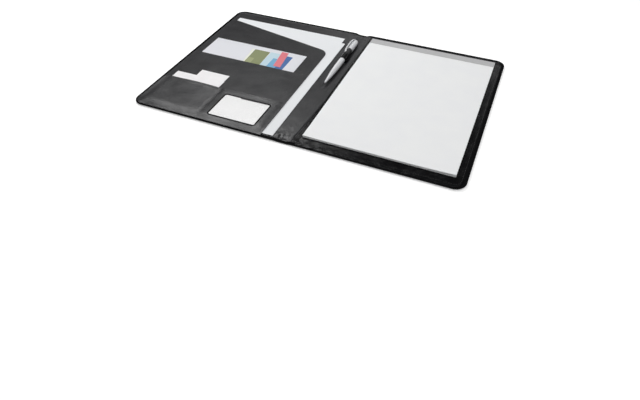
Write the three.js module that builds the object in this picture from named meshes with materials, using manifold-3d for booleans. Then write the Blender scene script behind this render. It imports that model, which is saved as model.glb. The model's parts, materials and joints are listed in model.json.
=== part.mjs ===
// Document folio: a padded leatherette folio that lies open on its back, inside up.
// The right half carries a writing pad, the spine a pen in its loop, and the left half a stack of pockets.
// Millimetres, Z up. X runs across the open folio and Y to its top edge.
// The origin lies under the middle of the spine, on the surface that the folio rests on.
import * as THREE from "three";
import { mergeVertices } from "three/addons/utils/BufferGeometryUtils.js";
import Module from "manifold-3d";

const wasm = await Module();
wasm.setup();

// Sheet thicknesses
const skinThickness = 0.7; // leatherette with its backing
const foamThickness = 0.7;
const boardThickness = 1.3; // greyboard of a cover
const liningThickness = 0.5;
const panelThickness = 0.5; // pocket panel, folded lining material
const stripThickness = 0.6; // board strip in the spine
const documentThickness = 0.4; // a few loose sheets
const leafletThickness = 0.3;
const cardThickness = 0.3;
const idCardThickness = 0.76;
const filmThickness = 0.2;
const trimThickness = 0.25;
const tapeThickness = 0.2;
const backingThickness = 0.5; // cardboard under the pad
const blockThickness = 2.6; // about 26 sheets
const topSheetThickness = 0.15;
const glueGap = 0.05; // between two sheets that lie on each other

// Papers
const paperWidth = 210; // the pad and the rear document are A4
const paperHeight = 297;
const frontDocumentWidth = 216;
const frontDocumentHeight = 279.4;
const leafletWidth = 170;
const leafletHeight = 105;
const leafletReveal = 54; // height that shows above its pocket
const landscapeCardWidth = 85;
const landscapeCardHeight = 54.5;
const landscapeCardReveal = 16;
const portraitCardWidth = 50;
const portraitCardHeight = 90;
const portraitCardReveal = 33;
const idCardWidth = 85.6;
const idCardHeight = 54;
const idCardRadius = 3.2;

// Writing pad in the right half
const padSpineMargin = 9; // board edge to pad
const padForeMargin = 15.5;
const padTopMargin = 17;
const padBottomMargin = 19;
const tapeWidth = 15; // binding tape on top of the pad
const tapeReturn = 12; // the same tape under the pad
const bindingLength = 54; // sheets that lie straight on the backing, above the slit
const leafGap = 0.5; // top sheet to tape
const slitGap = 1; // slit to the sheets that lie on the backing

// Cover outline
const foreCornerRadius = 16;
const turnedEdge = 2.5; // skin that shows inside, round the lining
const edgeRoundWidth = 3; // rounding of the padded outer edge
const edgeRoundHeight = 1.5;
const rimRound = 0.4; // inner edge of the turned-in rim
const seamInset = 42; // seam of the front cover, from its fore-edge
const seamGap = 0.3;
const seamGrooveWidth = 2;
const seamGrooveDepth = 0.4;

// Folds
const foldHeight = 1; // fold axes above the surface
const foldClearance = 0.5; // over and under the pen loop when the folio is shut
const foldSlit = 0.15; // half of the slit between two skins at a fold
const boardSetback = 5; // fold axis to board edge
const liningSetback = 1; // fold axis to the low end of a cover's lining
const liningFoot = 0.5; // lining that lies flat on the skin beside the fold
const liningTurn = 1; // board edge to where the lining turns down
const mitreClearance = 0.3; // to the plane that halves the fold when it is shut
const spineHemSetback = 2;
const spineLiningSetback = 0.8;
const spineStripSetback = 2;

// Pen, with its point towards the bottom edge
const barrelRadius = 4.7;
const barrelLength = 74.5;
const sleeveRadius = 4.6;
const sleeveLength = 34;
const capRadius = 5;
const capLength = 33;
const capDomeHeight = 6.5;
const penChamfer = 0.3;
const penJointGap = 0.15;
const barrelFullShare = 0.78; // share of the barrel's length at which it is widest
const barrelEndRound = 0.9;
const noseRadius = 1.7;
const noseBoreRadius = 1.2;
const noseBoreLength = 5;
const boreTaper = 1; // where the bore narrows to the nose or closes
const refillBoreRadius = 2.1;
const refillRadius = 1.9;
const refillPointRadius = 0.4;
const refillTipRadius = 1;
const refillTipLength = 9;
const refillTaper = 2;
const refillLength = 98;
const refillSetback = 0.5; // point inside the nose when the pen is off
const springBoreLength = 14; // blind bore in the cap, round the refill's spring
const spigotRadius = 3.6;
const spigotLength = 6;
const penRunningGap = 0.15;
const clipAngle = 120; // degrees from +X, up and to the left
const clipWidth = 3.6;
const clipThickness = 0.9;
const clipRise = 2.6; // air under the clip
const clipRootDrop = 2; // clip's root below the end of the cap
const clipRootRadius = 3.3; // distance of the root from the pen's axis
const clipBend = 11; // length of the bend from the root to the straight part
const clipHeelLength = 12; // end of the clip that bends in
const clipHeelGap = 0.35; // heel to sleeve
const clipSeat = 0.05; // root to cap
const clipOverhang = 15.5; // clip past the lower end of the cap
const penTopSetback = 38.4; // end of the cap below the top edge of the folio

// Pen loop
const loopClearance = 0.15; // barrel to loop
const loopThickness = 0.55;
const loopWidth = 16;
const loopGap = 0.9; // above the barrel's shoulder
const loopFlange = 6.2; // sewn base on each side of the pen

// Pockets of the left half
const pocketSpineInset = 33; // middle of the spine to the free edges of the pockets
const pocketForeInset = 4.5; // fore-edge to the pockets
const pocketBottomInset = 4.5;
const pocketCornerRadius = 11;
const seamWall = 0.8; // width of a sewn pocket edge
const documentPocketForeHeight = 289;
const documentPocketSpineHeight = 244;
const documentPocketRadius = 19;
const leafletPocketHeight = 160;
const rearDocumentInset = 23.5; // middle of the spine to the sheet
const frontDocumentInset = 16.6;
const documentLift = 2; // sheets above the sewn edge of their pocket
const leafletInset = 59;
const idCardInset = 44.2;
const idCardBottomMargin = 8.8; // pocket bottom to card
const idCardTopMargin = 13.2; // card to the pocket's top edge
const cardSeamGap = 6.2; // id card to the seam between the two card places
const cardSeamWidth = 2;
const landscapeCardGap = 7; // seam to card
const portraitCardGap = 7.5;
const contentForeGap = 8; // least room between contents and the fore-edge
const windowSideLap = 5.8; // card behind the panel at each side of the window
const windowEndLap = 0.75;
const windowRadius = 3;
const windowTrimWidth = 2;
const filmGap = 0.1;

// Slit pocket of the right half
const padPocketSpineGap = 3.6; // free edge of the pocket to the pad
const padPocketForeInset = 5;
const padPocketBottomInset = 4.5;

const ARC_STEPS = 6; // steps in a rounded corner
const EDGE_STEPS = 3; // steps in the rounding of a cover's edge
const END_STEPS = 5; // steps in a rounded end of the pen
const BARREL_STEPS = 9;
const BEND_STEPS = 4; // steps in each bend of the clip
const LATHE_STEPS = 32;
const CUT = 1; // reach of a cutting solid past what it cuts

// Heights of the layers, from the surface up. A layer lies on the one below it.
function layerOn(below, thickness) {
  const bottom = below.top + glueGap;
  return { bottom, top: bottom + thickness };
}

const skinLayer = { bottom: 0, top: skinThickness };
const foamLayer = layerOn(skinLayer, foamThickness);
const boardLayer = layerOn(foamLayer, boardThickness);
const liningLayer = layerOn(boardLayer, liningThickness);

const rearDocumentLayer = layerOn(liningLayer, documentThickness);
const frontDocumentLayer = layerOn(rearDocumentLayer, documentThickness);
const documentPocketLayer = layerOn(frontDocumentLayer, panelThickness);
const leafletLayer = layerOn(documentPocketLayer, leafletThickness);
const leafletPocketLayer = layerOn(leafletLayer, panelThickness);
const landscapeCardLayer = layerOn(leafletPocketLayer, cardThickness);
const portraitCardLayer = layerOn(landscapeCardLayer, cardThickness);
const idCardLayer = layerOn(leafletPocketLayer, idCardThickness);
const highestCard = portraitCardLayer.top > idCardLayer.top ? portraitCardLayer : idCardLayer;
const cardPocketLayer = layerOn(highestCard, panelThickness);
const filmLayer = layerOn(idCardLayer, filmThickness);
const trimLayer = layerOn(cardPocketLayer, trimThickness);

const tapeReturnLayer = layerOn(liningLayer, tapeThickness);
const backingLayer = layerOn(tapeReturnLayer, backingThickness);
const padPocketLayer = layerOn(backingLayer, panelThickness);
const blockLayer = layerOn(padPocketLayer, blockThickness);
const topSheetLayer = layerOn(blockLayer, topSheetThickness);
const tapeLayer = layerOn(blockLayer, tapeThickness);

const stripLayer = layerOn(skinLayer, stripThickness);
const spineLiningLayer = layerOn(stripLayer, liningThickness);
const loopLayer = layerOn(spineLiningLayer, loopThickness);

// Shut, the pen loop lies between the back cover's lining and the documents of the front cover.
const loopInnerRadius = Math.max(barrelRadius, capRadius) + loopClearance;
const loopOuterRadius = loopInnerRadius + loopThickness;
const shutThickness = liningLayer.top + frontDocumentLayer.top + 2 * (loopOuterRadius + foldClearance);
const foldAxis = shutThickness / 2 - foldHeight; // distance of each fold axis from the middle of the spine
const penX = shutThickness / 2 - (liningLayer.top + foldClearance + loopOuterRadius);
const penZ = loopLayer.bottom + loopOuterRadius;

// Places across the folio, as distances from the middle of the spine
const boardEdge = foldAxis + boardSetback;
const padSpineEdge = boardEdge + padSpineMargin;
const padForeEdge = padSpineEdge + paperWidth;
const idCardForeEdge = idCardInset + idCardWidth;
const cardSeam = idCardForeEdge + cardSeamGap;
const cardsInset = cardSeam + cardSeamWidth;
const foreEdge = Math.max(
  padForeEdge + padForeMargin,
  rearDocumentInset + paperWidth + contentForeGap,
  frontDocumentInset + frontDocumentWidth + contentForeGap,
  leafletInset + leafletWidth + contentForeGap,
  cardsInset + landscapeCardGap + landscapeCardWidth + contentForeGap,
  cardsInset + portraitCardGap + portraitCardWidth + contentForeGap,
);
const seam = foreEdge - seamInset;

// Places along the folio
const coverHeight = padBottomMargin + paperHeight + padTopMargin;
const topEdge = coverHeight / 2;
const bottomEdge = -topEdge;
const padBottom = bottomEdge + padBottomMargin;
const padTop = padBottom + paperHeight;
const tapeEdge = padTop - tapeWidth;
const slit = padTop - bindingLength;
const pocketBottom = bottomEdge + pocketBottomInset;
const pocketFore = foreEdge - pocketForeInset;
const leafletOpening = pocketBottom + leafletPocketHeight;
const idCardBottom = pocketBottom + idCardBottomMargin;
const cardOpening = idCardBottom + idCardHeight + idCardTopMargin;
const documentBottom = pocketBottom + documentLift;

// Joins the vertices of a closed geometry and makes a solid of it, with its faces turned out.
function toSolid(geometry) {
  const bare = new THREE.BufferGeometry();
  bare.setAttribute("position", geometry.getAttribute("position"));
  if (geometry.index) bare.setIndex(geometry.index);
  const merged = mergeVertices(bare, 1e-4);
  const corners = merged.index.array;
  const triangles = [];
  for (let i = 0; i < corners.length; i += 3) {
    const [a, b, c] = [corners[i], corners[i + 1], corners[i + 2]];
    if (a !== b && b !== c && c !== a) triangles.push(a, b, c);
  }
  const vertProperties = new Float32Array(merged.getAttribute("position").array);
  const build = (triVerts) => new wasm.Manifold(new wasm.Mesh({ numProp: 3, vertProperties, triVerts }));
  const solid = build(new Uint32Array(triangles));
  return solid.volume() < 0 ? build(new Uint32Array(triangles.reverse())) : solid;
}

function toGeometry(solid) {
  const mesh = solid.getMesh();
  const positions = new Float32Array(mesh.numVert * 3);
  for (let i = 0; i < mesh.numVert; i++) {
    positions.set(mesh.vertProperties.subarray(i * mesh.numProp, i * mesh.numProp + 3), i * 3);
  }
  const geometry = new THREE.BufferGeometry();
  geometry.setAttribute("position", new THREE.BufferAttribute(positions, 3));
  geometry.setIndex(new THREE.BufferAttribute(new Uint32Array(mesh.triVerts), 1));
  geometry.computeVertexNormals();
  return geometry;
}

// The points of a closed outline from its corners [x, y, radius], each rounded by an arc.
function roundedOutline(corners) {
  const points = [];
  corners.forEach(([x, y, radius = 0], i) => {
    const corner = new THREE.Vector2(x, y);
    if (radius === 0) {
      points.push(corner);
      return;
    }
    const before = corners[(i + corners.length - 1) % corners.length];
    const after = corners[(i + 1) % corners.length];
    const toBefore = new THREE.Vector2(before[0], before[1]).sub(corner).normalize();
    const toAfter = new THREE.Vector2(after[0], after[1]).sub(corner).normalize();
    const half = Math.acos(THREE.MathUtils.clamp(toBefore.dot(toAfter), -1, 1)) / 2;
    const bisector = toBefore.clone().add(toAfter).normalize();
    const centre = corner.clone().addScaledVector(bisector, radius / Math.sin(half));
    const start = corner.clone().addScaledVector(toBefore, radius / Math.tan(half)).sub(centre);
    const turn = Math.sign(toBefore.cross(toAfter)) * (Math.PI - 2 * half);
    for (let step = 0; step <= ARC_STEPS; step++) {
      const swing = (-turn * step) / ARC_STEPS;
      points.push(start.clone().rotateAround(new THREE.Vector2(), swing).add(centre));
    }
  });
  return points;
}

// A flat sheet with an outline, between two heights
function slab(corners, { bottom, top }) {
  const shape = new THREE.Shape(roundedOutline(corners));
  const geometry = new THREE.ExtrudeGeometry(shape, { depth: top - bottom, bevelEnabled: false });
  return toSolid(geometry.translate(0, 0, bottom));
}

// A section drawn in X and Z, run along Y
function alongY(section, low, high) {
  const shape = new THREE.Shape(section.map(([x, z]) => new THREE.Vector2(x, z)));
  const geometry = new THREE.ExtrudeGeometry(shape, { depth: high - low, bevelEnabled: false });
  return toSolid(geometry.rotateX(Math.PI / 2).translate(0, high, 0));
}

// A turned piece on the pen's axis, from a closed profile of [radius, y]
function turned(profile) {
  const closed = [...profile, profile[0]].map(([radius, y]) => new THREE.Vector2(radius, y));
  return toSolid(new THREE.LatheGeometry(closed, LATHE_STEPS).translate(penX, 0, penZ));
}

// A closed skin through rings that have the same number of points, capped at both ends
function loft(rings) {
  if (THREE.ShapeUtils.isClockWise(rings[0].points)) rings.forEach(({ points }) => points.reverse());
  const count = rings[0].points.length;
  const positions = rings.flatMap(({ points, z }) => points.flatMap((p) => [p.x, p.y, z]));
  const index = [];
  for (let ring = 0; ring + 1 < rings.length; ring++) {
    for (let i = 0; i < count; i++) {
      const a = ring * count + i;
      const b = ring * count + ((i + 1) % count);
      index.push(a, b, b + count, a, b + count, a + count);
    }
  }
  const cap = THREE.ShapeUtils.triangulateShape(rings[0].points, []);
  const last = (rings.length - 1) * count;
  cap.forEach(([a, b, c]) => index.push(c, b, a));
  cap.forEach(([a, b, c]) => index.push(last + a, last + b, last + c));
  const geometry = new THREE.BufferGeometry();
  geometry.setAttribute("position", new THREE.Float32BufferAttribute(positions, 3));
  geometry.setIndex(index);
  return toSolid(geometry);
}

function box(x, y, z) {
  const size = [x[1] - x[0], y[1] - y[0], z[1] - z[0]];
  const geometry = new THREE.BoxGeometry(...size);
  return toSolid(geometry.translate(x[0] + size[0] / 2, y[0] + size[1] / 2, z[0] + size[2] / 2));
}

// The two halves are drawn with side 1 on the right and side -1 on the left.
const span = (side, low, high) => (side > 0 ? [low, high] : [-high, -low]);

// Outline of a cover's sheet: square at the spine, round at the fore-edge
function coverOutline(side, spine, inset) {
  const radius = foreCornerRadius - inset;
  return [
    [side * spine, bottomEdge + inset],
    [side * (foreEdge - inset), bottomEdge + inset, radius],
    [side * (foreEdge - inset), topEdge - inset, radius],
    [side * spine, topEdge - inset],
  ];
}

// The skin of one cover: a shallow tray whose rim is turned in over the board. Its spine end is cut back at
// half a right angle, so that it clears the spine when the folio is shut.
function coverSkin(side) {
  const rimBottom = liningLayer.bottom;
  const rimTop = liningLayer.top;
  const profile = [];
  for (let step = 0; step <= EDGE_STEPS; step++) {
    const angle = (Math.PI / 2) * (step / EDGE_STEPS);
    profile.push([edgeRoundWidth * (1 - Math.sin(angle)), edgeRoundHeight * (1 - Math.cos(angle))]);
  }
  profile.push(
    [0, rimTop - rimRound],
    [rimRound, rimTop],
    [turnedEdge, rimTop],
    [turnedEdge, rimBottom],
    [skinThickness, rimBottom],
    [skinThickness, foamLayer.top],
    [edgeRoundWidth, skinThickness],
  );
  const rings = profile.map(([inset, z]) => ({
    points: roundedOutline(coverOutline(side, inset, inset)),
    z,
  }));
  const low = foldAxis + foldSlit;
  const mitreStart = foldHeight + foldSlit - mitreClearance;
  const mitreEnd = rimTop + CUT;
  const relief = [
    [0, -CUT],
    [side * low, -CUT],
    [side * low, mitreStart],
    [side * (low + mitreEnd - mitreStart), mitreEnd],
    [0, mitreEnd],
  ];
  return loft(rings)
    .subtract(alongY(relief, bottomEdge - CUT, topEdge + CUT))
    .subtract(box(span(side, -foreEdge, foldAxis), [bottomEdge, topEdge], [-CUT, mitreEnd]));
}

// The lining of one cover: flat on the board, then down to the fold beside the board's edge
function coverLining(side) {
  const { bottom, top } = liningLayer;
  const low = foldAxis + liningSetback;
  const footBottom = skinLayer.top + glueGap;
  const footTop = footBottom + liningThickness;
  const crest = boardEdge - liningTurn;
  const underside = liningThickness / 2;
  const slope = [
    [low, footBottom],
    [low, footTop],
    [low + liningFoot, footTop],
    [crest, top],
    [boardEdge, top],
    [boardEdge, bottom],
    [crest + underside, bottom],
    [low + liningFoot + underside, footBottom],
  ];
  const section = slope.map(([x, z]) => [side * x, z]);
  const flat = slab(coverOutline(side, boardEdge - liningTurn / 2, turnedEdge + glueGap), liningLayer);
  return flat.add(alongY(section, bottomEdge + edgeRoundWidth, topEdge - edgeRoundWidth));
}

function coverSheet(side, inset, layer) {
  return slab(coverOutline(side, boardEdge, inset), layer);
}

// The two skin panels of the front cover, on each side of the grooved seam
function frontSkins() {
  const groove = [
    [-seam - seamGrooveWidth / 2, -CUT],
    [-seam - seamGrooveWidth / 2, 0],
    [-seam, seamGrooveDepth],
    [-seam + seamGrooveWidth / 2, 0],
    [-seam + seamGrooveWidth / 2, -CUT],
  ];
  const along = [bottomEdge - CUT, topEdge + CUT];
  const grooved = coverSkin(-1).subtract(alongY(groove, ...along));
  const height = [-CUT, liningLayer.top + CUT];
  const spineSide = box([-seam + seamGap / 2, 0], along, height);
  const foreSide = box([-foreEdge - CUT, -seam - seamGap / 2], along, height);
  return { main: grooved.intersect(spineSide), edge: grooved.intersect(foreSide) };
}

// The skin of the spine, with a turned hem at its top and bottom ends
function spineSkin() {
  const half = foldAxis - foldSlit;
  const hem = foldAxis - spineHemSetback;
  const hemTop = spineLiningLayer.top;
  const sheet = box([-half, half], [bottomEdge, topEdge], [0, skinLayer.top]);
  const lowHem = box([-hem, hem], [bottomEdge, bottomEdge + skinThickness], [0, hemTop]);
  const highHem = box([-hem, hem], [topEdge - skinThickness, topEdge], [0, hemTop]);
  return sheet.add(lowHem).add(highHem);
}

// The spine's lining lies over the strip and comes down on the skin beside it.
function spineLining() {
  const { bottom, top } = spineLiningLayer;
  const foot = foldAxis - spineLiningSetback;
  const shoulder = foldAxis - spineStripSetback + glueGap;
  const footBottom = skinLayer.top + glueGap;
  const footTop = footBottom + liningThickness;
  const section = [
    [-foot, footBottom],
    [-shoulder, footBottom],
    [-shoulder, bottom],
    [shoulder, bottom],
    [shoulder, footBottom],
    [foot, footBottom],
    [foot, footTop],
    [shoulder, top],
    [-shoulder, top],
    [-foot, footTop],
  ];
  const inset = skinThickness + glueGap;
  return alongY(section, bottomEdge + inset, topEdge - inset);
}

function spineStrip() {
  const half = foldAxis - spineStripSetback;
  const inset = skinThickness + glueGap;
  return box([-half, half], [bottomEdge + inset, topEdge - inset], [stripLayer.bottom, stripLayer.top]);
}

// A pocket panel: its sewn edges come down to the sheet below, its open edges stay free.
function pocketPanel(outline, room, layer, floor) {
  const body = slab(outline, { bottom: floor, top: layer.top });
  return body.subtract(slab(room, { bottom: floor - CUT, top: layer.bottom }));
}

// Outline of a pocket in the left half, from its free or sewn spine edge to its sewn fore-edge
function leftPocketOutline({ spine, fore, bottom, spineTop, foreTop, bottomRadius, topRadius = 0 }) {
  return [
    [-spine, bottom],
    [-spine, spineTop, topRadius],
    [-fore, foreTop],
    [-fore, bottom, bottomRadius],
  ];
}

function documentPocket() {
  const spineTop = pocketBottom + documentPocketSpineHeight;
  const foreTop = pocketBottom + documentPocketForeHeight;
  const outline = leftPocketOutline({
    spine: pocketSpineInset,
    fore: pocketFore,
    bottom: pocketBottom,
    spineTop,
    foreTop,
    bottomRadius: pocketCornerRadius,
    topRadius: documentPocketRadius,
  });
  const room = leftPocketOutline({
    spine: pocketSpineInset - CUT,
    fore: pocketFore - seamWall,
    bottom: pocketBottom + seamWall,
    spineTop: topEdge,
    foreTop: topEdge,
    bottomRadius: pocketCornerRadius - seamWall,
  });
  return pocketPanel(outline, room, documentPocketLayer, liningLayer.top + glueGap);
}

// The leaflet and card pockets are sewn at both sides and at the bottom.
function openToppedPocket(opening, layer, below) {
  const outline = leftPocketOutline({
    spine: pocketSpineInset,
    fore: pocketFore,
    bottom: pocketBottom,
    spineTop: opening,
    foreTop: opening,
    bottomRadius: pocketCornerRadius,
  });
  const room = leftPocketOutline({
    spine: pocketSpineInset + seamWall,
    fore: pocketFore - seamWall,
    bottom: pocketBottom + seamWall,
    spineTop: opening + CUT,
    foreTop: opening + CUT,
    bottomRadius: pocketCornerRadius - seamWall,
  });
  return pocketPanel(outline, room, layer, below.top + glueGap);
}

// The card window, larger all round by a margin
function windowOutline(margin, radius) {
  const spineSide = idCardInset + windowSideLap - margin;
  const foreSide = idCardForeEdge - windowSideLap + margin;
  const bottom = idCardBottom + windowEndLap - margin;
  const top = idCardBottom + idCardHeight - windowEndLap + margin;
  return [
    [-foreSide, bottom, radius],
    [-spineSide, bottom, radius],
    [-spineSide, top, radius],
    [-foreSide, top, radius],
  ];
}

function cardPocket() {
  const { bottom, top } = cardPocketLayer;
  const seamRib = box(
    [-cardSeam - cardSeamWidth, -cardSeam],
    [pocketBottom + seamWall / 2, cardOpening],
    [leafletPocketLayer.top + glueGap, bottom + panelThickness / 2],
  );
  return openToppedPocket(cardOpening, cardPocketLayer, leafletPocketLayer)
    .add(seamRib)
    .subtract(slab(windowOutline(0, windowRadius), { bottom: bottom - CUT, top: top + CUT }));
}

function windowTrim() {
  const outer = windowOutline(windowTrimWidth, windowRadius + windowTrimWidth);
  const inner = windowOutline(0, windowRadius);
  const hole = { bottom: trimLayer.bottom - CUT, top: trimLayer.top + CUT };
  return slab(outer, trimLayer).subtract(slab(inner, hole));
}

function idCard() {
  const top = idCardBottom + idCardHeight;
  const outline = [
    [-idCardForeEdge, idCardBottom, idCardRadius],
    [-idCardInset, idCardBottom, idCardRadius],
    [-idCardInset, top, idCardRadius],
    [-idCardForeEdge, top, idCardRadius],
  ];
  return slab(outline, idCardLayer);
}

// A loose sheet or card in the left half
function leftSheet(inset, width, bottom, height, layer) {
  return box([-inset - width, -inset], [bottom, bottom + height], [layer.bottom, layer.top]);
}

// The slit pocket behind the pad is open at its top edge and sewn on the other three.
function padPocket() {
  const spine = padSpineEdge - padPocketSpineGap;
  const fore = foreEdge - padPocketForeInset;
  const bottom = bottomEdge + padPocketBottomInset;
  const outline = [
    [spine, bottom],
    [fore, bottom, pocketCornerRadius],
    [fore, slit],
    [spine, slit],
  ];
  const room = [
    [spine + seamWall, bottom + seamWall],
    [fore - seamWall, bottom + seamWall, pocketCornerRadius - seamWall],
    [fore - seamWall, slit + CUT],
    [spine + seamWall, slit + CUT],
  ];
  return pocketPanel(outline, room, padPocketLayer, liningLayer.top + glueGap);
}

// The sheets lie over the slit pocket, and straight on the backing board above the slit.
function padBlock() {
  const x = [padSpineEdge, padForeEdge];
  const main = box(x, [padBottom, padTop], [blockLayer.bottom, blockLayer.top]);
  const stepBottom = backingLayer.top + glueGap;
  const step = box(x, [slit + slitGap, padTop], [stepBottom, blockLayer.bottom + blockThickness / 2]);
  return main.add(step);
}

// The tape goes over the top of the pad, down its end and back under the backing board.
function padTape() {
  const end = padTop + glueGap;
  const outside = end + tapeThickness;
  const x = [padSpineEdge, padForeEdge];
  const over = box(x, [tapeEdge, outside], [tapeLayer.bottom, tapeLayer.top]);
  const down = box(x, [end, outside], [tapeReturnLayer.bottom, tapeLayer.top]);
  const under = box(x, [padTop - tapeReturn, outside], [tapeReturnLayer.bottom, tapeReturnLayer.top]);
  return over.add(down).add(under);
}

// Places along the pen, from the point to the end of the cap
const capEnd = topEdge - penTopSetback;
const capStart = capEnd - capLength;
const sleeveStart = capStart - penJointGap - sleeveLength;
const barrelEnd = sleeveStart - penJointGap;
const nose = barrelEnd - barrelLength;

// A quarter of an ellipse that draws a turned piece in by a depth, over the last of its height
function roundedEnd(radius, depth, height, end) {
  const points = [];
  for (let step = 0; step <= END_STEPS; step++) {
    const angle = (Math.PI / 2) * (step / END_STEPS);
    points.push([radius - depth * (1 - Math.cos(angle)), end - height * (1 - Math.sin(angle))]);
  }
  return points;
}

// The barrel is a slim cone that swells from the nose and is rounded off where it meets the sleeve.
function penBarrel() {
  const swell = [];
  const swellLength = barrelLength * barrelFullShare;
  for (let step = 0; step <= BARREL_STEPS; step++) {
    const share = (step / BARREL_STEPS) ** 1.5;
    const radius = noseRadius + (barrelRadius - noseRadius) * Math.sin((share * Math.PI) / 2);
    swell.push([radius, nose + share * swellLength]);
  }
  const socket = spigotRadius + penRunningGap;
  const socketEnd = barrelEnd - spigotLength - penRunningGap;
  return turned([
    ...swell,
    ...roundedEnd(barrelRadius, barrelEndRound, barrelEndRound, barrelEnd),
    [socket, barrelEnd],
    [socket, socketEnd],
    [refillBoreRadius, socketEnd],
    [refillBoreRadius, nose + noseBoreLength + boreTaper],
    [noseBoreRadius, nose + noseBoreLength],
    [noseBoreRadius, nose],
  ]);
}

// The sleeve has a spigot that turns in the barrel, and the refill runs through both.
function penSleeve() {
  const end = sleeveStart + sleeveLength;
  return turned([
    [refillBoreRadius, sleeveStart - spigotLength],
    [spigotRadius, sleeveStart - spigotLength],
    [spigotRadius, sleeveStart],
    [sleeveRadius - penChamfer, sleeveStart],
    [sleeveRadius, sleeveStart + penChamfer],
    [sleeveRadius, end - penChamfer],
    [sleeveRadius - penChamfer, end],
    [refillBoreRadius, end],
  ]);
}

// The cap is a cylinder with a dome, closed but for the blind bore that the refill's spring sits in.
function penCap() {
  const boreEnd = capStart + springBoreLength;
  return turned([
    [refillBoreRadius, capStart],
    [capRadius - penChamfer, capStart],
    [capRadius, capStart + penChamfer],
    ...roundedEnd(capRadius, capRadius, capDomeHeight, capEnd),
    [0, boreEnd],
    [refillBoreRadius, boreEnd - boreTaper],
  ]);
}

function penRefill() {
  const point = nose + refillSetback;
  const shoulder = point + refillTipLength;
  return turned([
    [0, point],
    [refillPointRadius, point],
    [refillTipRadius, point + refillTaper],
    [refillTipRadius, shoulder],
    [refillRadius, shoulder + refillTaper],
    [refillRadius, point + refillLength],
    [0, point + refillLength],
  ]);
}

// The outline of a strip of even thickness along a line
function stripOutline(line, thickness) {
  const offset = (side) =>
    line.map((point, i) => {
      const before = line[Math.max(i - 1, 0)];
      const after = line[Math.min(i + 1, line.length - 1)];
      const along = after.clone().sub(before).normalize();
      const across = new THREE.Vector2(-along.y, along.x);
      return point.clone().addScaledVector(across, (side * thickness) / 2);
    });
  return [...offset(1), ...offset(-1).reverse()];
}

// The clip springs from the dome of the cap, runs along the pen and bends in to the sleeve at its heel.
function penClip() {
  const half = clipThickness / 2;
  const straight = capRadius + clipRise + half;
  const heel = sleeveRadius + clipHeelGap + half;
  const root = capEnd - clipRootDrop;
  const tip = capStart - clipOverhang;
  const line = new THREE.Path();
  line.moveTo(clipRootRadius, root);
  line.quadraticCurveTo(straight, root - clipRootDrop / 2, straight, root - clipBend);
  line.lineTo(straight, tip + clipHeelLength);
  line.quadraticCurveTo(heel, tip + clipHeelLength / 2, heel, tip + clipHeelLength / 4);
  line.lineTo(heel + half, tip);
  const shape = new THREE.Shape(stripOutline(line.getPoints(BEND_STEPS), clipThickness));
  const geometry = new THREE.ExtrudeGeometry(shape, { depth: clipWidth, bevelEnabled: false });
  geometry.translate(0, 0, -clipWidth / 2);
  geometry.rotateY(-THREE.MathUtils.degToRad(clipAngle));
  const seatRadius = capRadius + clipSeat;
  const seat = turned([
    [0, capStart],
    [seatRadius, capStart],
    ...roundedEnd(seatRadius, seatRadius, capDomeHeight, capEnd + clipSeat),
  ]);
  return toSolid(geometry.translate(penX, 0, penZ)).subtract(seat);
}

// The loop is a strap round the pen on a flat base that is sewn to the spine.
function penLoop() {
  const low = sleeveStart + loopGap;
  const high = low + loopWidth;
  const [start, end] = [low - CUT, high + CUT];
  const ring = (radius) => turned([[0, start], [radius, start], [radius, end], [0, end]]);
  const reach = loopOuterRadius + CUT;
  const base = box([penX - loopFlange, penX + loopFlange], [low, high], [loopLayer.bottom, loopLayer.top]);
  const length = box([penX - reach, penX + reach], [low, high], [penZ - reach, penZ + reach]);
  return ring(loopOuterRadius).intersect(length).add(base).subtract(ring(loopInnerRadius));
}

const material = (color, roughness, metalness = 0) =>
  new THREE.MeshStandardMaterial({ color, roughness, metalness });

const leatherette = material("#16171a", 0.35);
const lining = material("#48484a", 0.5);
const greyboard = material("#8d8679", 0.9);
const foam = material("#d9d4c4", 0.95);
const paper = material("#e8e9eb", 0.85);
const tape = material("#a9a9a9", 0.7);
const plasticCard = material("#f1f1f1", 0.4);
const clearFilm = new THREE.MeshStandardMaterial({
  color: "#ffffff",
  roughness: 0.1,
  transparent: true,
  opacity: 0.35,
});
const silver = material("#c4c5c8", 0.3, 0.9);
const blackRubber = material("#141415", 0.6);
const brass = material("#b8964a", 0.35, 0.9);

const folio = new THREE.Group();

function place(group, name, solid, look) {
  const mesh = new THREE.Mesh(toGeometry(solid), look);
  mesh.name = name;
  group.add(mesh);
}

const boardInset = skinThickness + glueGap;

const backCover = new THREE.Group();
place(backCover, "back_outer_skin", coverSkin(1), leatherette);
place(backCover, "back_foam", coverSheet(1, edgeRoundWidth, foamLayer), foam);
place(backCover, "back_board", coverSheet(1, boardInset, boardLayer), greyboard);
place(backCover, "back_lining", coverLining(1), lining);
place(backCover, "pad_pocket", padPocket(), leatherette);

const spine = new THREE.Group();
place(spine, "spine_outer_skin", spineSkin(), leatherette);
place(spine, "spine_stiffener", spineStrip(), greyboard);
place(spine, "spine_lining", spineLining(), lining);
place(spine, "pen_loop", penLoop(), leatherette);

const frontCover = new THREE.Group();
const { main, edge } = frontSkins();
place(frontCover, "front_main_skin", main, leatherette);
place(frontCover, "front_edge_skin", edge, leatherette);
place(frontCover, "front_foam", coverSheet(-1, edgeRoundWidth, foamLayer), foam);
place(frontCover, "front_board", coverSheet(-1, boardInset, boardLayer), greyboard);
place(frontCover, "front_lining", coverLining(-1), lining);
place(frontCover, "document_pocket", documentPocket(), lining);
const leafletPocket = openToppedPocket(leafletOpening, leafletPocketLayer, documentPocketLayer);
place(frontCover, "leaflet_pocket", leafletPocket, lining);
place(frontCover, "card_pocket", cardPocket(), lining);
place(frontCover, "window_film", slab(windowOutline(-filmGap, windowRadius), filmLayer), clearFilm);
place(frontCover, "window_trim", windowTrim(), leatherette);

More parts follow.
